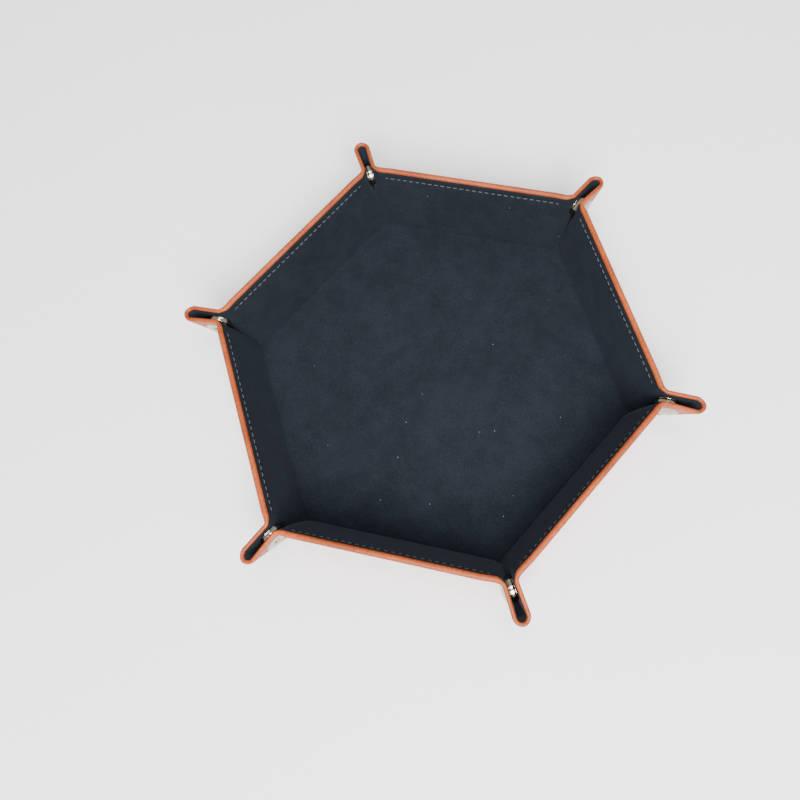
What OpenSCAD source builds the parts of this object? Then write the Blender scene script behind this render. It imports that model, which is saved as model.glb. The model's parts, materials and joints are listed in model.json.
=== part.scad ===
// Folding dice tray: a hexagonal floor, six hinged walls and six corner ears.
// Each ear is two soft flaps, pinched together by a snap fastener.
// Origin: middle of the underside. Z is up, and corners point along multiples of 60 degrees from X.
// Everything is modelled raised, with the six snaps closed.

/* [Tray] */
// Width of the lined floor between opposite walls
floor_width = 173; // [140:1:220]
// Height of a wall, measured up its slope
wall_slope = 40; // [32:0.5:50]
// Angle of a raised wall above the floor plane
wall_angle = 76; // [70:0.5:80]

/* [Sheet materials] */
// Thickness of the outer leather
leather_t = 1; // [0.8:0.1:1.3]
// Thickness of the stiffener board
board_t = 1.2; // [0.8:0.1:2]
// Thickness of the velvet lining
lining_t = 0.8; // [0.6:0.1:1.1]
// Width of the leather turned over along the edge of a flap
hem_w = 1.5; // [1:0.1:3]

/* [Corner ears] */
// Gap between the lining faces at the tip of an ear
ear_gap = 5.5; // [4.5:0.1:7]
// Radius of the rounded ear tip, on the flat pattern
ear_tip_r = 8; // [5:0.5:14]
// Snap centre below the rim, measured down the crease
snap_drop = 10; // [8:0.5:12]
// Snap centre out from the crease, on the flap
snap_inset = 5; // [4.2:0.1:6.5]

/* [Snap fasteners] */
// Diameter of the cap and of the eyelet on the outside
cap_d = 12; // [10:0.5:13]
// Thickness of the cap at its edge
cap_edge_t = 0.5; // [0.4:0.1:0.8]
// Rise of the cap's dome above its edge
cap_dome_h = 1.3; // [0.8:0.1:2]
// Diameter of the rivet post through the flap
post_d = 3.6; // [3:0.1:4.2]
// Outside diameter of the socket
socket_d = 11.6; // [10:0.2:12]
// Diameter of the socket's mouth
mouth_d = 5.6; // [5:0.1:6.4]
// Diameter of the stud's base
stud_base_d = 11.4; // [10:0.2:12]
// Diameter of the stud's head
stud_head_d = 4.4; // [4:0.1:4.8]

/* [Clearances] */
// Leather cut back on each side of a folding crease
leather_crease = 0.8; // [0.7:0.05:1.2]
// Lining cut back on each side of a folding crease
lining_crease = 0.4; // [0.2:0.05:1]
// Stiffener stopped short of a corner crease
board_crease = 5; // [2:0.5:7]
// Gap between pieces of neighbouring bodies
body_gap = 0.15; // [0.1:0.05:0.3]
// Depth that a snap presses into the flap on each face
snap_press = 0.2; // [0.1:0.05:0.3]

/* [Hidden] */
SIDES = 6;

leather_color = "#b8643c";
board_color = "#8f8778";
lining_color = "#26303c";
snap_color = "#b9b4aa";

// Stack of sheets. The fold lines lie on the inner face of the leather.
inner_t = board_t + lining_t;
stack_t = leather_t + inner_t;
bead_r = stack_t / 2;

// Floor hexagon at the fold lines
fold_inset = inner_t * tan(wall_angle / 2);
hinge_apothem = floor_width / 2 + fold_inset;
hinge_corner_r = hinge_apothem / cos(30);
half_edge = hinge_apothem * tan(30);
fold_corner = [hinge_corner_r, 0, leather_t];

// Sheets cut back from the fold line at the foot of a wall, on the wall's side
leather_fold_gap = 0.2;
lining_fold_gap = 0.2;
board_fold_gap = 0.45;
wall_board_start = fold_inset + board_fold_gap;
wall_lining_start = fold_inset + lining_fold_gap;

// The same on the floor's side
floor_board_gap = 1;
floor_lining_gap = 0.1;

// An ear is a pinched cone with its point at the floor corner.
// Its half angle follows from the gap at the tip.
ear_reach = wall_slope / sin(60);
ear_half_angle = atan((ear_gap / 2 + lining_t) / ear_reach);
lip_spread = atan(sin(ear_half_angle) / pow(cos(ear_half_angle), 2)) + atan(leather_t / ear_reach);

// Directions at the corner on the X axis, for the wall that leaves it anticlockwise
edge_dir = [-sin(30), cos(30), 0];
out_dir = [cos(30), sin(30), 0];
wall_normal = sin(wall_angle) * out_dir - [0, 0, cos(wall_angle)];

function unit(v) = v / norm(v);
function axis_dir(rise) = [cos(rise), 0, sin(rise)];
function flap_normal_at(rise) = [0, cos(ear_half_angle), 0] - sin(ear_half_angle) * axis_dir(rise);
function crease_at(rise) = unit(cross(wall_normal, flap_normal_at(rise)));
function flare_at(rise) = asin(-crease_at(rise) * edge_dir);
function tangent_at(rise) = unit(axis_dir(rise) + sin(ear_half_angle) * flap_normal_at(rise));
function flap_spread_at(rise) = flare_at(rise) + acos(crease_at(rise) * tangent_at(rise)) + lip_spread;

// The cone's rise is the one at which the two flaps of a corner meet when they lie flat,
// where each takes 30 degrees on its side of the corner. The spread falls as the cone rises.
function solve_rise(low, high, steps) =
    steps == 0 ? (low + high) / 2
    : flap_spread_at((low + high) / 2) > 30 ? solve_rise((low + high) / 2, high, steps - 1)
    : solve_rise(low, (low + high) / 2, steps - 1);

cone_rise = solve_rise(30, 80, 40);
flap_normal = flap_normal_at(cone_rise);
crease_dir = crease_at(cone_rise);
tangent_dir = tangent_at(cone_rise);
flare = flare_at(cone_rise);
flap_dir = unit(tangent_dir - crease_dir * (crease_dir * tangent_dir));

// Axes of the flat pattern, carried on to the raised flap
flap_x = cos(flare) * crease_dir - sin(flare) * flap_dir;
flap_y = sin(flare) * crease_dir + cos(flare) * flap_dir;
flap_z = -flap_normal;

// Snap centre, raised and on the flat pattern, and the flap faces that the snap is pressed against
snap_reach = wall_slope / cos(flare) - snap_drop;
snap_point = fold_corner + snap_reach * crease_dir + snap_inset * flap_dir;
flat_snap_x = snap_reach * cos(flare) - snap_inset * sin(flare);
flat_snap_y = half_edge + snap_reach * sin(flare) + snap_inset * cos(flare);
snap_out_y = snap_point[1] + leather_t - snap_press;
snap_in_y = snap_point[1] - lining_t + snap_press;

// Snap details
post_clearance = 0.1;
rivet_head_d = post_d + 1;
rivet_head_t = 0.3;
rivet_gap = 0.05;
plate_t = 0.6;
stud_wall_t = 0.3;
mate_gap = 0.1;
socket_face_y = -0.8;
stud_base_y = -socket_face_y + 2 * mate_gap;
eyelet_hole_d = 3;
eyelet_t = 0.7;
cap_room = 0.4;

// The cap's post ends in a rolled head inside the socket, and the stud's tip stops short of it.
rivet_tip_y = snap_in_y - plate_t - rivet_gap - rivet_head_t;
stud_tip_gap = 0.14;
stud_tip_y = stud_tip_gap - rivet_tip_y;

// Cuts reach this far past what they cut
cut_depth = 12;
cut_over = 1;
hem_cut_over = 0.1;

// The flaps of a corner swing a little past its middle on the way down.
// So each stops short of the middle by these angles, one when raised and one when flat.
raised_relief = 1.9;
flat_relief = 1.8;
// Start of a flap above the fold line, and of the cone inside it
corner_relief = 4;
cone_start = 2;

reach = 2 * floor_width;
ear_length = 1.3 * ear_reach;
fine = 96;

// ---- Placing ----

// Children drawn on the flat pattern of a wall: X up the slope, Y along the fold, Z into the tray
module on_wall(k) {
    rotate([0, 0, 60 * (k - 0.5)])
        translate([hinge_apothem, 0, leather_t])
            rotate([0, -wall_angle, 0])
                children();
}

// Children drawn at the corner on the X axis, for the flap on its anticlockwise side
module stud_flap_place(k) {
    rotate([0, 0, 60 * (k - 1)]) children();
}

// The same, mirrored to the clockwise side, at the other end of the wall
module socket_flap_place(k) {
    rotate([0, 0, 60 * k]) mirror([0, 1, 0]) children();
}

// Children drawn on the flat pattern of a flap: X up the slope, Y away from the wall, Z to the lining
module on_flap() {
    multmatrix([
        [flap_x[0], flap_y[0], flap_z[0], fold_corner[0]],
        [flap_x[1], flap_y[1], flap_z[1], fold_corner[1]],
        [flap_x[2], flap_y[2], flap_z[2], fold_corner[2]],
        [0, 0, 0, 1]
    ]) children();
}

// Children drawn with Z along the ear's cone and Y across the corner
module on_cone() {
    translate(fold_corner) rotate([0, 90 - cone_rise, 0]) children();
}

// Children drawn with Z out of the flap's leather side, on the snap's axis
module on_snap(y) {
    translate([snap_point[0], y, snap_point[2]]) rotate([-90, 0, 0]) children();
}

// ---- Floor ----

module floor_sheet(apothem, low, high) {
    translate([0, 0, low])
        linear_extrude(high - low)
            polygon([for (i = [0:SIDES - 1]) apothem / cos(30) * [cos(60 * i), sin(60 * i)]]);
}

module base_leather() {
    color(leather_color) floor_sheet(hinge_apothem - leather_fold_gap, 0, leather_t);
}

module base_board() {
    color(board_color) floor_sheet(hinge_apothem - floor_board_gap, leather_t, leather_t + board_t);
}

module base_lining() {
    color(lining_color) floor_sheet(floor_width / 2 - floor_lining_gap, leather_t + board_t, stack_t);
}

// ---- Walls ----

// Flat outline of a wall between its two corner creases, cut back by crease_gap
module wall_outline(start, end, crease_gap) {
    low_y = half_edge + start * tan(flare) - crease_gap / cos(flare);
    high_y = half_edge + end * tan(flare) - crease_gap / cos(flare);
    polygon([[start, -low_y], [end, -high_y], [end, high_y], [start, low_y]]);
}

// Wedge between the upright planes through two neighbouring corners
module sector(k) {
    tip = body_gap / sin(30);
    rotate([0, 0, 60 * (k - 0.5)])
        translate([tip, 0, -wall_slope])
            linear_extrude(3 * wall_slope)
                polygon([[0, 0], [reach, -reach * tan(30)], [reach, reach * tan(30)]]);
}

// Room for the edges of the snap discs at both ends of a wall: outside, with the tray raised,
// and inside, with the flaps folded flat beside the wall
module snap_rooms(k) {
    stud_flap_place(k) on_snap(snap_in_y) cylinder(h = cut_depth, d = cap_d + 2 * cap_room, $fn = fine);
    socket_flap_place(k) on_snap(snap_in_y) cylinder(h = cut_depth, d = cap_d + 2 * cap_room, $fn = fine);
    on_wall(k)
        for (side = [-1, 1])
            translate([flat_snap_x, side * flat_snap_y, 0])
                cylinder(h = cut_depth, d = max(socket_d, stud_base_d) + 2 * cap_room, $fn = fine);
}

module wall_sheet(k, start, end, crease_gap, low, high) {
    difference() {
        intersection() {
            on_wall(k)
                translate([0, 0, low])
                    linear_extrude(high - low)
                        wall_outline(start, end, crease_gap);
            sector(k);
        }
        snap_rooms(k);
    }
}

// The leather runs up the outside and turns over the top in a rounded bead.
module wall_leather(k) {
    bead_x = wall_slope - bead_r;
    color(leather_color) {
        difference() {
            intersection() {
                on_wall(k)
                    linear_extrude(2 * stack_t, center = true)
                        wall_outline(leather_fold_gap, wall_slope, leather_crease);
                sector(k);
                on_wall(k)
                    rotate([-90, 0, 0])
                        linear_extrude(reach, center = true)
                            mirror([0, 1])
                                union() {
                                    translate([leather_fold_gap, -leather_t])
                                        square([bead_x - leather_fold_gap, leather_t]);
                                    intersection() {
                                        translate([bead_x, inner_t - bead_r]) circle(bead_r, $fn = fine);
                                        translate([bead_x, -leather_t]) square([bead_r, stack_t]);
                                    }
                                }
            }
            snap_rooms(k);
        }
    }
}

module wall_board(k) {
    color(board_color)
        wall_sheet(k, wall_board_start, wall_slope - bead_r, board_crease, 0, board_t);
}

module wall_lining(k) {
    color(lining_color)
        wall_sheet(k, wall_lining_start, wall_slope - bead_r, lining_crease, board_t, inner_t);
}

// ---- Ear flaps ----

// Solid pinched cone of both flaps, grown outwards from the inner face of the leather
module ear_block(grow) {
    start = cone_start + max(0, -grow / sin(ear_half_angle));
    start_r = start * tan(ear_half_angle) + grow / cos(ear_half_angle);
    end_r = ear_length * tan(ear_half_angle) + grow / cos(ear_half_angle);
    on_cone() {
        union() {
            intersection() {
                translate([0, 0, start])
                    cylinder(h = ear_length - start, r1 = start_r, r2 = end_r, $fn = fine);
                translate([0, -ear_length, 0]) cube([ear_length, 2 * ear_length, ear_length]);
            }
            rotate([0, -90, 0])
                linear_extrude(ear_length)
                    polygon([[start, -start_r], [ear_length, -end_r], [ear_length, end_r], [start, start_r]]);
        }
    }
}

// Flat outline of a flap up to a top edge, from its crease to the middle of the corner
module flap_outline(top, tip_r, crease_gap) {
    round_x = top - tip_r;
    round_y = round_x * tan(30);
    crease_y = -crease_gap / cos(flare);
    intersection() {
        union() {
            polygon([
                [corner_relief, corner_relief * tan(flare) + crease_y],
                [top, top * tan(flare) + crease_y],
                [top, round_y],
                [round_x, round_y],
                [round_x, ear_length],
                [corner_relief, ear_length]
            ]);
            translate([round_x, round_y]) circle(tip_r, $fn = fine);
        }
        polygon([[0, 0], [ear_length, -ear_length], [ear_length, ear_length * tan(30 - flat_relief)]]);
        polygon([
            [corner_relief, corner_relief * tan(flare) - crease_y],
            [ear_length, ear_length * tan(flare) - crease_y],
            [ear_length, ear_length],
            [corner_relief, ear_length]
        ]);
    }
}

module flap_cutter(top, tip_r, crease_gap) {
    on_flap()
        translate([0, 0, -leather_t - cut_over])
            linear_extrude(leather_t + cut_over + ear_gap + lining_t)
                flap_outline(top, tip_r, crease_gap);
}

// Space on the flap's own side of the corner's middle plane
module own_side() {
    on_cone()
        translate([0, body_gap, 0])
            rotate([-raised_relief, 0, 0])
                translate([-ear_length, 0, -ear_length])
                    cube([2 * ear_length, ear_length, 3 * ear_length]);
}

// Holes and pressed seats of the snap in a flap
module snap_seats(outside_d, inside_d) {
    on_snap(snap_out_y) cylinder(h = cut_depth, d = outside_d + 2 * post_clearance, $fn = fine);
    on_snap(snap_in_y - cut_depth) cylinder(h = cut_depth, d = inside_d + 2 * post_clearance, $fn = fine);
    on_snap(-cut_depth) cylinder(h = 2 * cut_depth, d = post_d + 2 * post_clearance, $fn = fine);
}

module flap_leather(outside_d, inside_d) {
    difference() {
        intersection() {
            ear_block(leather_t);
            flap_cutter(wall_slope, ear_tip_r, leather_crease);
            own_side();
        }
        // Inside the hem, only the outer leather is left.
        intersection() {
            ear_block(0);
            flap_cutter(wall_slope - hem_w, ear_tip_r - hem_w, leather_crease - hem_cut_over);
        }
        ear_block(-lining_t);
        snap_seats(outside_d, inside_d);
    }
}

module flap_lining(outside_d, inside_d) {
    difference() {
        intersection() {
            ear_block(0);
            flap_cutter(wall_slope - hem_w, ear_tip_r - hem_w, lining_crease);
            own_side();
        }
        ear_block(-lining_t);
        snap_seats(outside_d, inside_d);
    }
}

module stud_flap_leather(k) {
    color(leather_color) stud_flap_place(k) flap_leather(cap_d, stud_base_d);
}

module stud_flap_lining(k) {
    color(lining_color) stud_flap_place(k) flap_lining(cap_d, stud_base_d);
}

module socket_flap_leather(k) {
    color(leather_color) socket_flap_place(k) flap_leather(cap_d, socket_d);
}

module socket_flap_lining(k) {
    color(lining_color) socket_flap_place(k) flap_lining(cap_d, socket_d);
}

// ---- Snap fasteners ----

// Domed cap with its solid post, which is rolled over inside the socket
module cap() {
    dome_r = (pow(cap_d / 2, 2) + pow(cap_dome_h, 2)) / (2 * cap_dome_h);
    on_snap(snap_out_y)
        intersection() {
            translate([0, 0, cap_edge_t + cap_dome_h - dome_r]) sphere(dome_r, $fn = fine);
            cylinder(h = cap_edge_t + 2 * cap_dome_h, d = cap_d, $fn = fine);
        }
    on_snap(rivet_tip_y) cylinder(h = snap_out_y + cap_edge_t - rivet_tip_y, d = post_d, $fn = fine);
    on_snap(rivet_tip_y) cylinder(h = rivet_head_t, d = rivet_head_d, $fn = fine);
}

// Ring with a back plate, clamped to the lining by the cap's post
module socket() {
    difference() {
        on_snap(socket_face_y) cylinder(h = snap_in_y - socket_face_y, d = socket_d, $fn = fine);
        on_snap(snap_in_y - plate_t - cut_depth) cylinder(h = cut_depth, d = mouth_d, $fn = fine);
        on_snap(socket_face_y) cylinder(h = cut_depth, d = post_d + post_clearance, $fn = fine);
    }
}

// Flat ring with a hollow post, which is spread inside the stud
module eyelet() {
    head_y = snap_in_y - plate_t;
    difference() {
        union() {
            on_snap(snap_out_y) cylinder(h = eyelet_t, d = cap_d, $fn = fine);
            on_snap(head_y) cylinder(h = snap_out_y + eyelet_t - head_y, d = post_d, $fn = fine);
        }
        on_snap(head_y - cut_over) cylinder(h = cut_depth, d = eyelet_hole_d, $fn = fine);
    }
}

// Hollow stud on a round base, clamped to the lining by the eyelet's post
module stud() {
    bore_d = post_d + post_clearance;
    difference() {
        union() {
            on_snap(stud_base_y) cylinder(h = snap_in_y - stud_base_y, d = stud_base_d, $fn = fine);
            on_snap(stud_tip_y) cylinder(h = snap_in_y - stud_tip_y, d = stud_head_d, $fn = fine);
        }
        on_snap(stud_tip_y + stud_wall_t) cylinder(h = cut_depth, d = bore_d, $fn = fine);
    }
}

module snap_cap_and_socket(k) {
    color(snap_color) socket_flap_place(k) {
        cap();
        socket();
    }
}

module snap_eyelet_and_stud(k) {
    color(snap_color) stud_flap_place(k) {
        eyelet();
        stud();
    }
}

// ---- Assembly ----

base_leather();
base_board();
base_lining();
for (k = [1:SIDES]) {
    wall_leather(k);
    wall_board(k);
    wall_lining(k);
    socket_flap_leather(k);
    socket_flap_lining(k);
    stud_flap_leather(k);
    stud_flap_lining(k);
    snap_cap_and_socket(k);
    snap_eyelet_and_stud(k);
}
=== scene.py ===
"""Looks of a folding dice tray: tan leather outside, velvet inside, six pinched ears held by ring snaps."""

import math

import bpy
import numpy as np
from mathutils import Matrix, Vector
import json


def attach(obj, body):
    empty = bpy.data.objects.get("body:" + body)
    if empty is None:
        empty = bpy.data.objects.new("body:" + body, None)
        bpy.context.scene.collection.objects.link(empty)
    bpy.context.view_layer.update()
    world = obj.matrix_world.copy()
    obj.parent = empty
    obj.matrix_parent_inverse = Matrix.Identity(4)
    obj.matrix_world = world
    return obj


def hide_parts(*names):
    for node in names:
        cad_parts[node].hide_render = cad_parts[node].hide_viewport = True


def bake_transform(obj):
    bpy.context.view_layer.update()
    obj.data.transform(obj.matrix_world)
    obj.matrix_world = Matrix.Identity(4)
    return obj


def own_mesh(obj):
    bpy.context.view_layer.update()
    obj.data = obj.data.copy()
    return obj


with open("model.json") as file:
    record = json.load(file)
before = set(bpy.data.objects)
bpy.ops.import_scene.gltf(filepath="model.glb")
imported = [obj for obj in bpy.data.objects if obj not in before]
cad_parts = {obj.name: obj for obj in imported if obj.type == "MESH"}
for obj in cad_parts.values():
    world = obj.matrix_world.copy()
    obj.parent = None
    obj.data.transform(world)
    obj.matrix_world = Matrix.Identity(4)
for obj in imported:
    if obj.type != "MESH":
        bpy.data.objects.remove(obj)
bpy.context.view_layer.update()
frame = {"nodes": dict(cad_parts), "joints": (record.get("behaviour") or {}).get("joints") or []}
joints = {joint["name"]: joint for joint in frame["joints"]}

# ---------------------------------------------------------------------------------------------
# The cutting pattern. The whole cover is one flat hexagon with rounded corners. Each corner is
# pinched into an ear, and all the folds of a corner pass through the floor's corner point.
# All lengths are in millimetres, at the corner on +X, for the wall that leaves it anticlockwise.
# ---------------------------------------------------------------------------------------------
MM = 0.001
WALL_SLOPE = 40.0
WALL_ANGLE = math.radians(76)
FLAP_FOLD = math.radians(62.4805)
LEATHER_T = 1.0
BOARD_T = 1.2
LINING_T = 0.8
SIDES = 6


def unit(v):
    """A vector, or an array of vectors, divided by its length."""
    v = np.asarray(v, float)
    return v / np.linalg.norm(v, axis=-1, keepdims=True)


def turn_about(axis, angle, v):
    """Rodrigues' formula: v turned about a unit axis by angle."""
    parallel = axis * (v @ axis)
    return parallel + (v - parallel) * math.cos(angle) + np.cross(axis, v) * math.sin(angle)


def smooth(t):
    """Smoothstep of t, held at 0 and 1 outside its range."""
    t = np.clip(t, 0, 1)
    return t * t * (3 - 2 * t)


def lerp(a, b, t):
    """a at t = 0 and b at t = 1."""
    return a + (b - a) * t


crease_joint = joints["stud_flap_1_crease"]
fold_corner = np.array(crease_joint["pos_m"]) / MM
crease = -unit(crease_joint["axis"])
half_edge = fold_corner[0] / 2

wall_out = np.array([math.cos(math.radians(30)), math.sin(math.radians(30)), 0])
wall_up = np.array([*(math.cos(WALL_ANGLE) * wall_out[:2]), math.sin(WALL_ANGLE)])
wall_along = np.array([0.5, -math.cos(math.radians(30)), 0])
wall_inward = -np.cross(wall_up, wall_along)
flare = math.degrees(math.asin(crease @ wall_along))

flap_up = turn_about(crease, FLAP_FOLD, wall_up)
flap_along = turn_about(crease, FLAP_FOLD, wall_along)
flap_inward = turn_about(crease, FLAP_FOLD, wall_inward)

# The ear is a pinched cone. Its half angle and its axis follow from the flap's plane.
ear_sin = math.sqrt(flap_inward[0] ** 2 + flap_inward[2] ** 2)
ear_cos = -flap_inward[1]
ear_axis = np.array([flap_inward[0], 0, flap_inward[2]]) / ear_sin
ear_back = np.array([ear_axis[2], 0, -ear_axis[0]])
lip_start_dir = ear_cos * ear_axis + ear_sin * np.array([0, 1, 0])
lip_start = math.degrees(math.atan2(lip_start_dir @ flap_along, lip_start_dir @ flap_up))

# Reach of the ear's middle line, and the least radius of its rounded back
EAR_TIP = 45.3
LIP_CORE = 0.12

# Fan angles, from the crease, where the sheet starts to turn, is pulled along the wall,
# is pulled along the flap, and is flat again.
BEND_TIGHT = (-10, -5, -2.2, 1.0)
BEND_GENTLE = (-18, -9.5, -2.4, 2.0)

# Flaps that bend gently into their ear; the others turn sharply. Numbers are those of the flaps.
GENTLE = {"stud": (1, 2, 3, 6), "socket": (2, 3, 5)}


def direction(angle, bend):
    """Unit directions from the corner point and the sheet's inward normals, at fan angles in degrees.

    Flat on the wall before the bend and flat on the flap after it. Between them the direction is
    a cubic Bezier curve of four unit vectors, two on each plane, scaled back to length one.
    """
    radians = np.radians(angle)
    on_wall = np.cos(radians)[..., None] * wall_up + np.sin(radians)[..., None] * wall_along
    on_flap = np.cos(radians)[..., None] * flap_up + np.sin(radians)[..., None] * flap_along
    ends = np.radians(flare + np.array(bend))
    p0, p1 = [math.cos(e) * wall_up + math.sin(e) * wall_along for e in ends[:2]]
    p2, p3 = [math.cos(e) * flap_up + math.sin(e) * flap_along for e in ends[2:]]
    u = np.clip((angle - flare - bend[0]) / (bend[3] - bend[0]), 0, 1)[..., None]
    curve = (1 - u) ** 3 * p0 + 3 * u * (1 - u) ** 2 * p1 + 3 * u**2 * (1 - u) * p2 + u**3 * p3
    slope = (1 - u) ** 2 * (p1 - p0) + 2 * u * (1 - u) * (p2 - p1) + u**2 * (p3 - p2)
    on_bend = unit(curve)
    bend_inward = -unit(np.cross(on_bend, slope))
    before, after = u <= 0, u >= 1
    way = np.where(before, on_wall, np.where(after, on_flap, on_bend))
    inward = np.where(before, wall_inward, np.where(after, flap_inward, bend_inward))
    return way, inward


def wall_point(x, y, h):
    """x up the slope, y past the corner along the fold and h inwards from the leather's inner face."""
    return fold_corner + x[..., None] * wall_up + y[..., None] * wall_along + h[..., None] * wall_inward


def corner_point(x, y, h, bend):
    """The same flat coordinates, on the sheet that bends from the wall into the flap."""
    way, inward = direction(np.degrees(np.arctan2(y, x)), bend)
    return fold_corner + np.hypot(x, y)[..., None] * way + h[..., None] * inward


def lip_point(x, turn, h):
    """A point of the ear's rounded back: x as on the flap's last line, turn from 0 at the flap to
    90 degrees at the ear's middle, on a cone whose radius shrinks by h, but never through itself."""
    reach = x / math.cos(math.radians(lip_start))
    reach = reach * lerp(1, EAR_TIP * math.cos(math.radians(lip_start)) / WALL_SLOPE, smooth(turn / 90))
    radius = np.maximum(reach * ear_sin - h * ear_cos, LIP_CORE)
    angle = np.radians(turn)
    around = np.cos(angle)[..., None] * np.array([0, 1, 0]) + np.sin(angle)[..., None] * ear_back
    along = reach * ear_cos + h * ear_sin
    return fold_corner + along[..., None] * ear_axis + radius[..., None] * around


def placed(points, k, side):
    """Points of corner 1's anticlockwise side, brought to flap or wall k, in metres."""
    points = np.array(points, float)
    turn = k - 1
    if side == "socket":
        points[..., 1] *= -1
        turn = k
    a = math.radians(60 * turn)
    spin = np.array([[math.cos(a), -math.sin(a), 0], [math.sin(a), math.cos(a), 0], [0, 0, 1]])
    return points @ spin.T * MM


# ---------------------------------------------------------------------------------------------
# Outer cover: PU-coated leather, orange-tan, skived and glued. It is cut in one piece; here it is
# drawn as floor, wall, flap and lip panels. Its edge is turned over along the rim as a bead.
# ---------------------------------------------------------------------------------------------
FOLD_GAP = 0.2
BEAD_ROWS = 14
BEAD_CORE = 0.4
HEM_END = 36.8
HEM_T = 0.5
HEM_DEPTH = 0.3
HEM_SLOPE = 0.1
SKIRT = 13.5
BOARD_STOP = 5.0
BOARD_STEP = 4.5
FLAP_LOFT = 0.25
BLEND_REACH = (-4.5, 0.3)
SHARP = math.radians(40)


def inner_thickness(d):
    """What lies inside the leather, at a distance d past the crease: board and lining on the wall,
    and only lining, a little fuller where no board holds it, on the flap."""
    return lerp(BOARD_T + LINING_T, LINING_T + FLAP_LOFT, smooth((d + BOARD_STOP) / BOARD_STEP))


def crease_distance(x, y):
    """Distance past the crease line, square to it, on the flat pattern."""
    f = math.radians(flare)
    return y * math.cos(f) - x * math.sin(f)


def skirt_line(x):
    """Where the flat wall panel ends, along a line beside the crease."""
    f = math.radians(flare)
    return x * math.tan(f) - SKIRT / math.cos(f)


def leather_section(inside):
    """Outline of the cover at right angles to the rim, as outer and inner rows of (x, h).

    The outer row climbs the outside, goes round the bead, a half circle as wide as the whole
    stack, and tucks in under the lining. The inner row keeps inside it.
    """
    radius = (LEATHER_T + inside) / 2
    middle = inside - radius
    climb = np.array([FOLD_GAP, 1, 3, 6, 10, 14, 18, 22, 26, 30, 33.5, 36.5])
    top = WALL_SLOPE - radius
    outer_x, outer_h, inner_x, inner_h = [], [], [], []
    for c in climb:
        outer_x.append(c + 0 * radius)
        outer_h.append(-LEATHER_T + 0 * radius)
        inner_x.append(c + 0 * radius)
        inner_h.append(0 * radius)
    for a in np.linspace(-math.pi / 2, math.pi / 2, BEAD_ROWS):
        outer_x.append(top + radius * math.cos(a))
        outer_h.append(middle + radius * math.sin(a))
        inner_x.append(top + BEAD_CORE * math.cos(a))
        inner_h.append(middle + BEAD_CORE * math.sin(a))
    for share in (0.35, 1.0):
        outer_x.append(lerp(top, HEM_END + 0 * radius, share))
        outer_h.append(inside - HEM_DEPTH - HEM_SLOPE * share)
        inner_x.append(lerp(top, HEM_END + 0 * radius, share) - 0.01)
        inner_h.append(inside - HEM_DEPTH - HEM_T + 0 * radius)
    return [np.array(rows) for rows in (outer_x, outer_h, inner_x, inner_h)]


def slab(name, outer, inner, flip=False):
    """A closed solid between two grids of points, [column, row, xyz], joined along all four edges.

    Faces of the outer grid look away from the inner grid; flip turns them on a mirrored piece.
    """
    columns, rows = outer.shape[:2]
    count = columns * rows
    number = np.arange(count).reshape(columns, rows)
    quad = np.stack([number[:-1, :-1], number[1:, :-1], number[1:, 1:], number[:-1, 1:]], -1)
    quad = quad.reshape(-1, 4)
    ring = np.concatenate([number[:-1, 0], number[-1, :-1], number[:0:-1, -1], number[0, :0:-1]])
    following = np.roll(ring, -1)
    side = np.stack([following, ring, ring + count, following + count], -1)
    faces = np.concatenate([quad, quad[:, ::-1] + count, side])
    if flip:
        faces = faces[:, ::-1]
    points = np.concatenate([outer.reshape(-1, 3), inner.reshape(-1, 3)])
    return solid(name, points, faces)


def solid(name, points, faces):
    """A smooth-shaded mesh object from points in metres and faces of one length, sharp at its edges."""
    mesh = bpy.data.meshes.new(name)
    mesh.vertices.add(len(points))
    mesh.vertices.foreach_set("co", np.asarray(points, np.float32).ravel())
    size = faces.shape[1]
    mesh.loops.add(faces.size)
    mesh.loops.foreach_set("vertex_index", faces.astype(np.int32).ravel())
    mesh.polygons.add(len(faces))
    mesh.polygons.foreach_set("loop_start", np.arange(0, faces.size, size, dtype=np.int32))
    mesh.update(calc_edges=True)
    mesh.validate()
    mesh.polygons.foreach_set("use_smooth", np.ones(len(mesh.polygons), bool))
    mesh.set_sharp_from_angle(angle=SHARP)
    piece = bpy.data.objects.new(name, mesh)
    bpy.context.scene.collection.objects.link(piece)
    return piece


def linear(code):
    """An sRGB hex colour as linear RGBA."""
    channels = [int(code[i : i + 2], 16) / 255 for i in (1, 3, 5)]
    return (*[c / 12.92 if c <= 0.04045 else ((c + 0.055) / 1.055) ** 2.4 for c in channels], 1)


def add(material, kind, inputs=(), **settings):
    """Adds one shader node with its settings, and sets or links its inputs."""
    node = material.node_tree.nodes.new("ShaderNode" + kind)
    for key, value in settings.items():
        setattr(node, key, value)
    for key, value in dict(inputs).items():
        if isinstance(value, bpy.types.NodeSocket):
            material.node_tree.links.new(value, node.inputs[key])
        else:
            node.inputs[key].default_value = value
    return node


def new_material(name):
    """An empty node material and its object coordinates, in millimetres."""
    material = bpy.data.materials.new(name)
    material.use_nodes = True
    material.node_tree.nodes.clear()
    place = add(material, "TexCoord").outputs["Object"]
    scale = add(material, "VectorMath", {0: place, 1: (1000, 1000, 1000)}, operation="MULTIPLY")
    return material, scale.outputs[0]


def finish_material(material, shader):
    """Puts the shader on the material's surface."""
    add(material, "OutputMaterial", {"Surface": shader.outputs[0]})
    return material


def ramp(material, factor, low, high, colours):
    """A colour that goes from one to the other as factor goes from low to high."""
    node = add(material, "ValToRGB", {"Fac": factor})
    for stop, at, colour in zip(node.color_ramp.elements, (low, high), colours):
        stop.position = at
        stop.color = colour
    return node.outputs["Color"]


def multiplied(material, factor, a, b):
    """Two colours multiplied together, as far as factor says."""
    inputs = {"Factor": factor, "A": a, "B": b}
    return add(material, "Mix", inputs, data_type="RGBA", blend_type="MULTIPLY")


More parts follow.
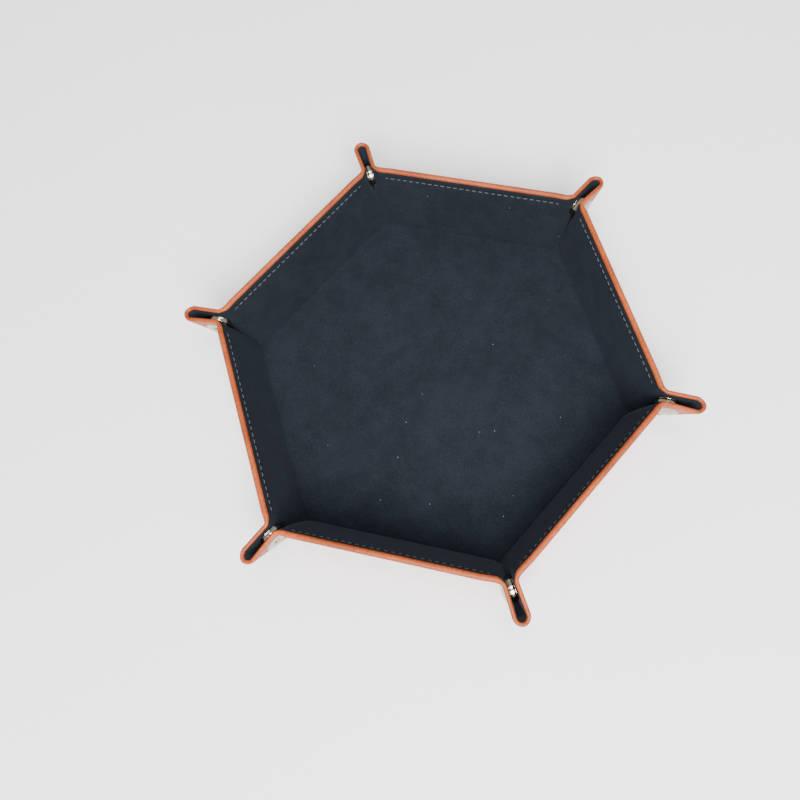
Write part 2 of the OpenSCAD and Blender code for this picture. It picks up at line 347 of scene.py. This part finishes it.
def coated_leather():
    """PU-coated leather: a warm satin film over a pebble grain of about 0.9 mm, a little darker in
    the grain's valleys, with broad soft changes of tone."""
    material, place = new_material("coated_leather_embossed")
    broad = add(material, "TexNoise", {"Vector": place, "Scale": 0.06, "Detail": 3.0})
    pebble = add(material, "TexVoronoi", {"Vector": place, "Scale": 1.1, "Randomness": 0.9})
    pore = add(material, "TexNoise", {"Vector": place, "Scale": 2.6, "Detail": 4.0})
    tone = ramp(material, broad.outputs["Fac"], 0.3, 0.7, (linear("#8c3d16"), linear("#a34c1f")))
    valley_colours = (linear("#ffffff"), linear("#a48a7c"))
    valley = ramp(material, pebble.outputs["Distance"], 0.35, 0.8, valley_colours)
    colour = multiplied(material, 0.45, tone, valley)
    parts = {0: pore.outputs["Fac"], 1: pebble.outputs["Distance"]}
    height = add(material, "Math", parts, operation="SUBTRACT")
    bump = add(material, "Bump", {"Height": height.outputs[0], "Strength": 0.35, "Distance": 0.0002})
    shader = add(
        material,
        "BsdfPrincipled",
        {
            "Base Color": colour.outputs["Result"],
            "Roughness": 0.46,
            "Specular IOR Level": 0.3,
            "Normal": bump.outputs["Normal"],
        },
    )
    return finish_material(material, shader)


leather = coated_leather()


def sheet_columns():
    """Shares of the way from the wall panel's edge to the lip, closer together in the bend."""
    return np.concatenate([np.linspace(0, 0.6, 38)[:-1], np.linspace(0.6, 1, 13)])


def corner_columns(x, share):
    """y of the flat pattern on a row at x, at a share of the way across the corner panel."""
    return lerp(skirt_line(x), x * math.tan(math.radians(lip_start)), share)


def hexagon_rings(apothems, heights, per_side=24):
    """Rings of points on hexagons with the given apothems, at the given heights: [ring, around, xyz]."""
    side = np.repeat(np.arange(SIDES), per_side)
    along = np.tile(np.arange(per_side) / per_side, SIDES)
    corners = np.radians(60 * np.arange(SIDES + 1))
    outline = np.stack([np.cos(corners), np.sin(corners)], -1) / math.cos(math.radians(30))
    ring = outline[side] + along[:, None] * (outline[side + 1] - outline[side])
    flat = np.asarray(apothems)[:, None, None] * ring
    tall = np.broadcast_to(np.asarray(heights)[:, None, None], (*flat.shape[:2], 1))
    return np.concatenate([flat, tall], -1)


def hexagon_solid(name, rings):
    """A closed solid from rings that start and end close to its middle, the underside first."""
    count, around = rings.shape[:2]
    number = np.arange(count * around).reshape(count, around)
    low_row, high_row = number[:-1], number[1:]
    quad = np.stack([low_row, np.roll(low_row, -1, 1), np.roll(high_row, -1, 1), high_row], -1)
    points = np.concatenate([rings.reshape(-1, 3), rings[[0, -1]].mean(1)])
    low, high = len(points) - 2, len(points) - 1
    first, last = number[0], number[-1]
    cap_low = np.stack([np.roll(first, -1), first, np.full(around, low)], -1)
    cap_high = np.stack([last, np.roll(last, -1), np.full(around, high)], -1)
    quads = quad.reshape(-1, 4)
    caps = np.concatenate([cap_low, cap_high])
    triangles = np.concatenate([quads[:, [0, 1, 2]], quads[:, [0, 2, 3]], caps])
    return solid(name, points * MM, triangles)


def finish_piece(piece, body, material, slot, *nodes):
    """Gives a piece its material, and says which nodes it stands for and what it rides on; slot is not
    used.
    """
    piece.data.materials.clear()
    piece.data.materials.append(material)
    if nodes:
        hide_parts(*nodes)
    if body:
        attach(piece, body)
    return piece


# Floor panel of the cover. Its edge rolls up round the fold line, so that it stays closed at the
# foot of a wall at every fold.
hinge_apothem = fold_corner[0] * math.cos(math.radians(30))
roll = np.linspace(-math.pi / 2, WALL_ANGLE - math.pi / 2, 7)
floor_edge_roll = hinge_apothem + LEATHER_T * np.cos(roll)
floor_apothems = [1, 30, 60, 80, 86, *floor_edge_roll, hinge_apothem - 0.3, 60, 1]
floor_heights = [0, 0, 0, 0, 0, *(LEATHER_T + LEATHER_T * np.sin(roll)), LEATHER_T, LEATHER_T, LEATHER_T]
floor_cover = hexagon_solid("cover_floor", hexagon_rings(floor_apothems, floor_heights))
finish_piece(floor_cover, "base", leather, "leather", "base_leather")

for k in range(1, SIDES + 1):
    # Wall panel, between two lines beside its creases
    share = np.linspace(0, 1, 31)[:, None]
    x_out, h_out, x_in, h_in = [row[None, :] for row in leather_section(np.array(BOARD_T + LINING_T))]
    y_out, y_in = [lerp(skirt_line(x), -2 * half_edge - skirt_line(x), share) for x in (x_out, x_in)]
    outer = wall_point(x_out + 0 * share, y_out, h_out + 0 * share)
    inner = wall_point(x_in + 0 * share, y_in, h_in + 0 * share)
    piece = slab(f"cover_wall_{k}", placed(outer, k, "stud"), placed(inner, k, "stud"))
    finish_piece(piece, f"wall_{k}", leather, "leather", f"wall_leather_{k}")
    for side in ("stud", "socket"):
        # Flap panel, from beside the crease, through the bend, to the last flat line of the flap
        bend = BEND_GENTLE if k in GENTLE[side] else BEND_TIGHT
        share = sheet_columns()
        rim_y = corner_columns(WALL_SLOPE, share)
        inside = inner_thickness(crease_distance(WALL_SLOPE, rim_y))
        rows = [row.T for row in leather_section(inside)]
        outer = corner_point(rows[0], corner_columns(rows[0], share[:, None]), rows[1], bend)
        inner = corner_point(rows[2], corner_columns(rows[2], share[:, None]), rows[3], bend)
        mirrored = side == "socket"
        piece = slab(f"cover_{side}_flap_{k}", placed(outer, k, side), placed(inner, k, side), mirrored)
        finish_piece(piece, None, leather, "leather", f"{side}_flap_leather_{k}")
        across = unit(unit(np.cross(crease, wall_inward)) + unit(np.cross(crease, flap_inward)))
        start, end = [placed(fold_corner + across * at, k, side) for at in BLEND_REACH]
        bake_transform(piece)
        # Lip panel, half of the ear's rounded back
        turn = np.linspace(0, 90, 17)
        rows = [row.T for row in leather_section(np.full(len(turn), inside[-1]))]
        outer = lip_point(rows[0], turn[:, None], rows[1])
        inner = lip_point(rows[2], turn[:, None], rows[3])
        piece = slab(f"cover_{side}_lip_{k}", placed(outer, k, side), placed(inner, k, side), mirrored)
        finish_piece(piece, f"{side}_flap_{k}", leather, "leather")
        normal = placed(flap_inward, k, side) / MM
        anchor = placed(fold_corner - LEATHER_T * flap_inward, k, side)
        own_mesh(piece)

# ---------------------------------------------------------------------------------------------
# Lining: cotton-backed velvet, dark blue-grey, one sheet glued to the boards and the cover. It is
# pressed down along the stitching and puffs up a little between the stitching and the bead.
# ---------------------------------------------------------------------------------------------
LINING_TOP = 38.6
STITCH_X = 34.7
STITCH_PITCH = 3.4
PUFF = 0.22
LIP_PUFF = 0.8
FOOT_PUFF = 0.3
LIP_BACK = -0.85
GROOVE = 0.35
FLOOR_TUCK = 1.2
SEAT = 0.5
SNAP_DROP = 10.0
SNAP_INSET = 5.0
SOCKET_R = 5.8


def lining_face(x, y, inside, stitched):
    """Height of the pile's face over the leather: flat, with a shallow crown up the wall, a groove
    shaped like a bell curve on the stitch line, deeper at each needle hole, and a rounded top edge."""
    crown = PUFF * np.sin(np.pi * np.clip(x / LINING_TOP, 0, 1)) ** 0.7
    hole = 0.75 + 0.25 * np.cos(2 * np.pi * (y + half_edge) / STITCH_PITCH)
    groove = GROOVE * hole * np.exp(-(((x - STITCH_X) / 0.75) ** 2)) * stitched
    band = 0.18 * np.exp(-(((x - 36.9) / 1.2) ** 2)) * stitched
    edge = 0.45 * smooth((x - LINING_TOP + 1.0) / 1.0) ** 2
    return inside + crown + band - groove - edge


def snap_seat(x, y):
    """Depth that the snap presses into the velvet, on the flat pattern: a flat round seat with a
    soft rim."""
    f = math.radians(flare)
    reach = WALL_SLOPE / math.cos(f) - SNAP_DROP
    along = x - reach * math.cos(f) + SNAP_INSET * math.sin(f)
    across_crease = y - reach * math.sin(f) - SNAP_INSET * math.cos(f)
    return SEAT * (1 - smooth((np.hypot(along, across_crease) - SOCKET_R + 0.2) / 1.2))


def velvet():
    """Velvet: a dense short pile. It drinks light head on and glows at a slant, shows broad blotches
    where the nap has been stroked, a fine pile grain drawn at 0.5 mm, and a few pale specks of lint."""
    material, place = new_material("velvet_pile")
    stroke = add(material, "TexNoise", {"Vector": place, "Scale": 0.028, "Detail": 3.0, "Roughness": 0.6})
    blotch = add(material, "TexNoise", {"Vector": place, "Scale": 0.11, "Detail": 4.0, "Roughness": 0.65})
    pile = add(material, "TexNoise", {"Vector": place, "Scale": 2.2, "Detail": 2.0})
    mixed = add(material, "Math", {0: stroke.outputs["Fac"], 1: blotch.outputs["Fac"]}, operation="ADD")
    half = add(material, "Math", {0: mixed.outputs[0], 1: 0.5}, operation="MULTIPLY")
    tone = ramp(material, half.outputs[0], 0.38, 0.62, (linear("#1a1e24"), linear("#1f242b")))
    grain = ramp(material, pile.outputs["Fac"], 0.35, 0.68, (linear("#8f8f8f"), linear("#ffffff")))
    colour = multiplied(material, 0.6, tone, grain)
    lint = add(material, "TexVoronoi", {"Vector": place, "Scale": 0.1, "Randomness": 1.0})
    speck_colours = (linear("#ffffff"), linear("#000000"))
    speck = ramp(material, lint.outputs["Distance"], 0.018, 0.028, speck_colours)
    with_lint = add(
        material,
        "Mix",
        {"Factor": speck, "A": colour.outputs["Result"], "B": linear("#6d7480")},
        data_type="RGBA",
    )
    bump = add(material, "Bump", {"Height": pile.outputs["Fac"], "Strength": 0.4, "Distance": 0.0003})
    shader = add(
        material,
        "BsdfPrincipled",
        {
            "Base Color": with_lint.outputs["Result"],
            "Roughness": 0.95,
            "Specular IOR Level": 0.08,
            "Sheen Weight": 0.1,
            "Sheen Roughness": 0.45,
            "Sheen Tint": linear("#9aa6b8"),
            "Normal": bump.outputs["Normal"],
        },
    )
    return finish_material(material, shader)


pile_cloth = velvet()

lining_rows = np.concatenate([[0, 1, 2], np.linspace(4, 32, 12), np.linspace(32.8, LINING_TOP, 16)])


def floor_height(x, y, distance):
    """Height of the floor's velvet: soft hollows and swells of 0.1 mm, and a crease pressed in
    along the walls."""
    swell = 0.06 * np.sin(x / 17 + 1) * np.sin(y / 13 + 2) + 0.05 * np.sin((x - y) / 9)
    return LEATHER_T + BOARD_T + LINING_T + swell - 0.5 * np.exp(-((distance / 0.9) ** 2))


floor_edge = hinge_apothem - (BOARD_T + LINING_T) * math.tan(WALL_ANGLE / 2)
foot_apothems = np.linspace(floor_edge + 1, floor_edge - 4, 14)
top_apothems = np.concatenate([[hinge_apothem + FLOOR_TUCK], foot_apothems, np.linspace(80, 1, 36)])
top_rings = hexagon_rings(top_apothems, 0 * top_apothems)
top_rings[..., 2] = floor_height(top_rings[..., 0], top_rings[..., 1], (floor_edge - top_apothems)[:, None])
low_apothems = np.array([1, 40, 80, hinge_apothem - 1])
low_rings = hexagon_rings(low_apothems, 0 * low_apothems + LEATHER_T + BOARD_T)
floor_lining = hexagon_solid("lining_floor", np.concatenate([low_rings, top_rings]))
finish_piece(floor_lining, "base", pile_cloth, "lining", "base_lining")

for k in range(1, SIDES + 1):
    share = np.linspace(0, 1, 121)[:, None]
    x = lining_rows[None, :] + 0 * share
    y = lerp(skirt_line(x), -2 * half_edge - skirt_line(x), share)
    thick = BOARD_T + LINING_T + 0 * x
    outer = wall_point(x, y, lining_face(x, y, thick, 1))
    inner = wall_point(x, y, thick - LINING_T)
    piece = slab(f"lining_wall_{k}", placed(inner, k, "stud"), placed(outer, k, "stud"))
    finish_piece(piece, f"wall_{k}", pile_cloth, "lining", f"wall_lining_{k}")
    for side in ("stud", "socket"):
        bend = BEND_GENTLE if k in GENTLE[side] else BEND_TIGHT
        share = sheet_columns()[:, None]
        x = lining_rows[None, :] + 0 * share
        y = corner_columns(x, share)
        d = crease_distance(x, y)
        thick = inner_thickness(d)
        foot = FOOT_PUFF * smooth((d + 2) / 4) * (1 - smooth((x - 16) / 7))
        face = lining_face(x, y, thick, 1 - smooth((d + 10) / 6))
        outer = corner_point(x, y, face + foot - snap_seat(x, y), bend)
        inner = corner_point(x, y, thick - LINING_T, bend)
        mirrored = side == "socket"
        piece = slab(f"lining_{side}_flap_{k}", placed(inner, k, side), placed(outer, k, side), mirrored)
        finish_piece(piece, None, pile_cloth, "lining", f"{side}_flap_lining_{k}")
        start, end = [placed(fold_corner + across * at, k, side) for at in BLEND_REACH]
        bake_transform(piece)
        turn = np.linspace(0, 90, 17)[:, None]
        x = lining_rows[None, :] + 0 * turn
        d = crease_distance(x, x * math.tan(math.radians(lip_start)))
        thick = inner_thickness(d)
        foot = FOOT_PUFF * (1 - smooth((x - 16) / 7))
        puffed = LIP_PUFF * smooth((x - 18) / 14) * smooth(turn / 70) * (1 - smooth((x - 36) / 3))
        outer = lip_point(x, turn + 0 * x, lining_face(x, x, thick, 0) + foot + puffed)
        inner = lip_point(x, turn + 0 * x, lerp(thick - LINING_T, LIP_BACK, smooth(turn / 60)))
        piece = slab(f"lining_{side}_lip_{k}", placed(inner, k, side), placed(outer, k, side), mirrored)
        finish_piece(piece, f"{side}_flap_{k}", pile_cloth, "lining")
        normal = placed(flap_inward, k, side) / MM
        anchor = placed(fold_corner + thick[0, -1] * flap_inward, k, side)
        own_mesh(piece)

# ---------------------------------------------------------------------------------------------
# Stiffeners: grey pressed fibre board, die cut, glued between cover and lining. They don't show.
# ---------------------------------------------------------------------------------------------


def fibre_board():
    """Grey board: pressed paper fibre, dull, with a short fleck of about 1 mm."""
    material, place = new_material("grey_fibre_board")
    fleck = add(material, "TexNoise", {"Vector": place, "Scale": 1.2, "Detail": 4.0})
    colour = ramp(material, fleck.outputs["Fac"], 0.3, 0.7, (linear("#7d7568"), linear("#9a9284")))
    bump = add(material, "Bump", {"Height": fleck.outputs["Fac"], "Strength": 0.2, "Distance": 0.0001})
    inputs = {"Base Color": colour, "Roughness": 0.9, "Normal": bump.outputs["Normal"]}
    return finish_material(material, add(material, "BsdfPrincipled", inputs))


board = fibre_board()
for name in ["base_board", *[f"wall_board_{k}" for k in range(1, SIDES + 1)]]:
    mesh = frame["nodes"][name].data
    mesh.materials.clear()
    mesh.materials.append(board)

# ---------------------------------------------------------------------------------------------
# Snap fasteners: ring snaps pressed from sheet brass and nickel plated. A domed cap and a socket
# grip one flap; an eyelet and a stud grip the other, and the stud's head presses into the socket.
# ---------------------------------------------------------------------------------------------
CAP_R = 6.0
STUD_R = 5.7
PLATE_IN = 0.2
snap_reach = WALL_SLOPE / math.cos(math.radians(flare)) - SNAP_DROP
flap_square = unit(np.cross(crease, flap_inward))
snap_point = fold_corner + snap_reach * crease + SNAP_INSET * flap_square
OUT_Y = snap_point[1] + LEATHER_T - PLATE_IN
IN_Y = snap_point[1] - LINING_T + PLATE_IN
SOCKET_FACE = -0.8
STUD_BASE = 1.0
STUD_TIP = -0.6


def arc(centre_r, centre_y, radius, start, end, steps=7):
    """Points of a circular arc in the turned outline, from one angle to another, in degrees."""
    a = np.radians(np.linspace(start, end, steps))
    return [(centre_r + radius * math.cos(t), centre_y + radius * math.sin(t)) for t in a]


def turned(name, outline, k, side, around=64):
    """A closed outline of (radius, y) points carried round the snap's axis, its ends on the axis or
    joined. y points out of the flap, and the faces look outwards."""
    outline = np.array(outline)
    angle = np.radians(np.arange(around) * 360 / around)
    radius, height = outline[:, 0][:, None], outline[:, 1][:, None]
    points = np.stack([radius * np.cos(angle), height + 0 * angle, radius * np.sin(angle)], -1)
    points = points + np.array([snap_point[0], 0, snap_point[2]])
    rows = len(outline)
    number = np.arange(rows * around).reshape(rows, around)
    following = np.roll(number, -1, 0)
    quad = np.stack([number, following, np.roll(following, -1, 1), np.roll(number, -1, 1)], -1)
    quad = quad.reshape(-1, 4)
    if side == "socket":
        quad = quad[:, ::-1]
    return solid(name, placed(points, k, side).reshape(-1, 3), quad)


AXIS = 0.02
dome_r = (CAP_R**2 + 1.3**2) / (2 * 1.3)
dome_edge = math.degrees(math.asin((CAP_R - 0.35) / dome_r))
CAP = [
    *arc(0, OUT_Y + 1.9 - dome_r, dome_r, 90 - 0.2, 90 - dome_edge, 14),
    *arc(CAP_R - 0.32, OUT_Y + 0.33, 0.32, 60, -90, 7),
    (2.2, OUT_Y + 0.02),
    (1.8, OUT_Y - 0.2),
    (1.8, IN_Y - 0.5),
    (AXIS, IN_Y - 0.5),
]
SOCKET = [
    *arc(SOCKET_R - 0.35, SOCKET_FACE + 0.35, 0.35, -90, 0, 7),
    (SOCKET_R, IN_Y - 1.0),
    (SOCKET_R - 0.25, IN_Y - 0.85),
    (SOCKET_R - 0.25, IN_Y - 0.7),
    *arc(SOCKET_R - 0.3, IN_Y - 0.3, 0.28, -60, 90, 7),
    (1.9, IN_Y),
    (1.9, IN_Y - 0.5),
    (3.0, IN_Y - 0.6),
    (3.0, SOCKET_FACE + 0.7),
    *arc(3.15, SOCKET_FACE + 0.35, 0.35, 180, 270, 6),
]
STUD = [
    (AXIS, STUD_TIP + 0.05),
    (1.5, STUD_TIP),
    *arc(1.75, STUD_TIP + 0.45, 0.45, -90, 0, 6),
    (1.95, STUD_TIP + 1.0),
    (2.2, STUD_BASE - 0.1),
    *arc(2.6, STUD_BASE - 0.1, 0.35, 180, 90, 5),
    (STUD_R - 0.7, STUD_BASE + 0.25),
    *arc(STUD_R - 0.33, STUD_BASE + 0.34, 0.33, -90, 90, 8),
    (STUD_R - 0.8, IN_Y - 0.1),
    (2.0, IN_Y),
    (1.2, IN_Y),
    (1.2, IN_Y - 0.3),
    (AXIS, IN_Y - 0.3),
]
EYELET = [
    *arc(CAP_R - 0.42, OUT_Y + 0.3, 0.42, -60, 110, 8),
    (4.4, OUT_Y + 0.62),
    *arc(3.0, OUT_Y + 0.45, 0.5, 70, 120, 4),
    (1.9, OUT_Y + 0.55),
    *arc(1.9, OUT_Y + 0.15, 0.4, 90, 180, 5),
    (1.5, IN_Y - 0.2),
    (1.8, IN_Y - 0.2),
    (1.8, OUT_Y - 0.2),
    (2.4, OUT_Y + 0.02),
]


def nickel():
    """Bright nickel plate on pressed brass: a slightly warm mirror with a faint haze and fine
    handling marks."""
    material, place = new_material("nickel_plate")
    haze = add(material, "TexNoise", {"Vector": place, "Scale": 0.5, "Detail": 5.0, "Roughness": 0.7})
    mark = add(material, "TexNoise", {"Vector": place, "Scale": 4.0, "Detail": 3.0})
    rough = add(
        material,
        "MapRange",
        {"Value": haze.outputs["Fac"], "From Min": 0.3, "From Max": 0.7, "To Min": 0.06, "To Max": 0.15},
    )
    colour = ramp(material, haze.outputs["Fac"], 0.3, 0.7, (linear("#988f7d"), linear("#aea594")))
    bump = add(material, "Bump", {"Height": mark.outputs["Fac"], "Strength": 0.05, "Distance": 0.0001})
    inputs = {
        "Base Color": colour,
        "Metallic": 1.0,
        "Roughness": rough.outputs[0],
        "Normal": bump.outputs["Normal"],
    }
    return finish_material(material, add(material, "BsdfPrincipled", inputs))


plate = nickel()
for k in range(1, SIDES + 1):
    snap_parts = (
        ("cap", CAP, "socket", "snap_cap_and_socket"),
        ("socket", SOCKET, "socket", "snap_cap_and_socket"),
        ("eyelet", EYELET, "stud", "snap_eyelet_and_stud"),
        ("stud", STUD, "stud", "snap_eyelet_and_stud"),
    )
    for name, outline, side, node in snap_parts:
        piece = turned(f"snap_{name}_{k}", outline, k, side)
        finish_piece(piece, f"{side}_flap_{k}", plate, "snap_metal", f"{node}_{k}")

# ---------------------------------------------------------------------------------------------
# Stitching: one lockstitch line along the top of each wall, through cover, board and lining.
# The thread is grey polyester on the velvet side and tan on the leather side.
# ---------------------------------------------------------------------------------------------
THREAD_R = 0.22
STITCH_LENGTH = 2.3
STITCH_END = 4.5
STITCH_RISE = 0.3
STITCH_SINK = 0.12
chance = np.random.default_rng(7)


def stitch_row(name, k, height, sign):
    """One line of stitches. Each is a capsule of thread that rises as a parabola out of its two
    needle holes. height is the surface that it lies on, and sign is 1 on the velvet side."""
    reach = half_edge - STITCH_END
    centres = np.arange(-reach, reach, STITCH_PITCH)
    centres = centres - centres.mean()
    s = np.linspace(-1, 1, 9)
    a = np.radians(np.arange(8) * 45)
    radius = THREAD_R * np.sqrt(np.clip(1 - s**6, 0.02, 1))
    length = STITCH_LENGTH * chance.uniform(0.93, 1.07, len(centres))
    lean = chance.uniform(-0.1, 0.1, len(centres))
    along = centres[:, None, None] + (s * length[:, None] / 2)[..., None] + 0 * a
    up = STITCH_X + (s * lean[:, None])[..., None] + radius[:, None] * np.cos(a)
    rise = STITCH_RISE * (1 - s**2)[:, None] - STITCH_SINK
    out = height + sign * (rise + radius[:, None] * np.sin(a)) + 0 * along
    points = wall_point(up + 0 * along, along - half_edge, out)
    number = np.arange(points[..., 0].size).reshape(points.shape[:3])
    quad = np.stack(
        [number[:, :-1], np.roll(number[:, :-1], -1, 2), np.roll(number[:, 1:], -1, 2), number[:, 1:]], -1
    ).reshape(-1, 4)
    ends = np.concatenate([number[:, 0, ::-1].reshape(-1, 8), number[:, -1].reshape(-1, 8)])
    caps = np.concatenate([ends[:, [0, 1, 2, 3]], ends[:, [0, 3, 4, 7]], ends[:, [4, 5, 6, 7]]])
    faces = np.concatenate([quad, caps])
    if sign > 0:
        faces = faces[:, ::-1]
    return solid(name, placed(points, k, "stud").reshape(-1, 3), faces)


def thread(name, dark, light):
    """Polyester thread: two plies twisted, drawn as a mottle of two tones about 0.3 mm across."""
    material, place = new_material(name)
    twist = add(material, "TexNoise", {"Vector": place, "Scale": 3.0, "Detail": 2.0})
    colour = ramp(material, twist.outputs["Fac"], 0.35, 0.65, (linear(dark), linear(light)))
    bump = add(material, "Bump", {"Height": twist.outputs["Fac"], "Strength": 0.5, "Distance": 0.0002})
    inputs = {
        "Base Color": colour,
        "Roughness": 0.6,
        "Sheen Weight": 0.3,
        "Normal": bump.outputs["Normal"],
    }
    return finish_material(material, add(material, "BsdfPrincipled", inputs))


grey_thread = thread("polyester_thread_grey", "#2a2e32", "#44494e")
tan_thread = thread("polyester_thread_tan", "#8a4a28", "#b3663c")
for k in range(1, SIDES + 1):
    rows = (
        ("inner", BOARD_T + LINING_T - 0.05, 1, grey_thread, "lining"),
        ("outer", -LEATHER_T, -1, tan_thread, "leather"),
    )
    for where, height, sign, material, slot in rows:
        piece = stitch_row(f"stitching_{where}_{k}", k, height, sign)
        finish_piece(piece, f"wall_{k}", material, slot)

# ---------------------------------------------------------------------------------------------
# Studio: a pale floor, a soft pale world and two large soft lights.
# ---------------------------------------------------------------------------------------------


def studio_floor():
    """Matt off-white paper, with a barely visible unevenness of tone."""
    material, place = new_material("studio_paper")
    tone = add(material, "TexNoise", {"Vector": place, "Scale": 0.004, "Detail": 2.0})
    colour = ramp(material, tone.outputs["Fac"], 0.3, 0.7, (linear("#f2f2f1"), linear("#f6f6f5")))
    inputs = {"Base Color": colour, "Roughness": 0.9}
    return finish_material(material, add(material, "BsdfPrincipled", inputs))


bpy.ops.mesh.primitive_plane_add(size=6, location=(0, 0, -0.0003))
ground = bpy.context.object
ground.name = "studio_floor"
ground.data.materials.append(studio_floor())

world = bpy.data.worlds.new("studio_world")
world.use_nodes = True
world.node_tree.nodes["Background"].inputs["Color"].default_value = linear("#f4f6f8")
world.node_tree.nodes["Background"].inputs["Strength"].default_value = 0.85
bpy.context.scene.world = world


def soft_light(name, place, size, power):
    """A square area light at place, in metres, that looks at the tray."""
    lamp = bpy.data.lights.new(name, "AREA")
    lamp.size = size
    lamp.energy = power
    light = bpy.data.objects.new(name, lamp)
    light.location = place
    light.rotation_euler = (Vector((0, 0, 0.02)) - Vector(place)).to_track_quat("-Z", "Y").to_euler()
    bpy.context.scene.collection.objects.link(light)


soft_light("key_light", (0.3, -0.75, 1.0), 0.7, 46)
soft_light("fill_light", (0.1, 0.1, 1.4), 0.5, 12)

CAMERA_PLACE = (0.0480, -0.1088, 0.3769)
CAMERA_AZIMUTH = math.radians(-25.18)
CAMERA_ELEVATION = math.radians(71.69)
CAMERA_ROLL = math.radians(-13.64)
FOCAL_LENGTH = 33.2415
LENS_SHIFT = -0.0375
forward = Vector(
    (
        math.sin(CAMERA_AZIMUTH) * math.cos(CAMERA_ELEVATION),
        math.cos(CAMERA_AZIMUTH) * math.cos(CAMERA_ELEVATION),
        -math.sin(CAMERA_ELEVATION),
    )
)
level = Vector((math.cos(CAMERA_AZIMUTH), -math.sin(CAMERA_AZIMUTH), 0))
right = Matrix.Rotation(CAMERA_ROLL, 3, -forward) @ level
up = right.cross(forward)
lens = bpy.data.cameras.new("camera")
lens.lens = FOCAL_LENGTH
lens.shift_x = LENS_SHIFT
lens.shift_y = LENS_SHIFT
lens.clip_start = 0.01
camera = bpy.data.objects.new("camera", lens)
camera.matrix_world = Matrix((right, up, -forward)).transposed().to_4x4()
camera.location = CAMERA_PLACE
bpy.context.scene.collection.objects.link(camera)
bpy.context.scene.camera = camera
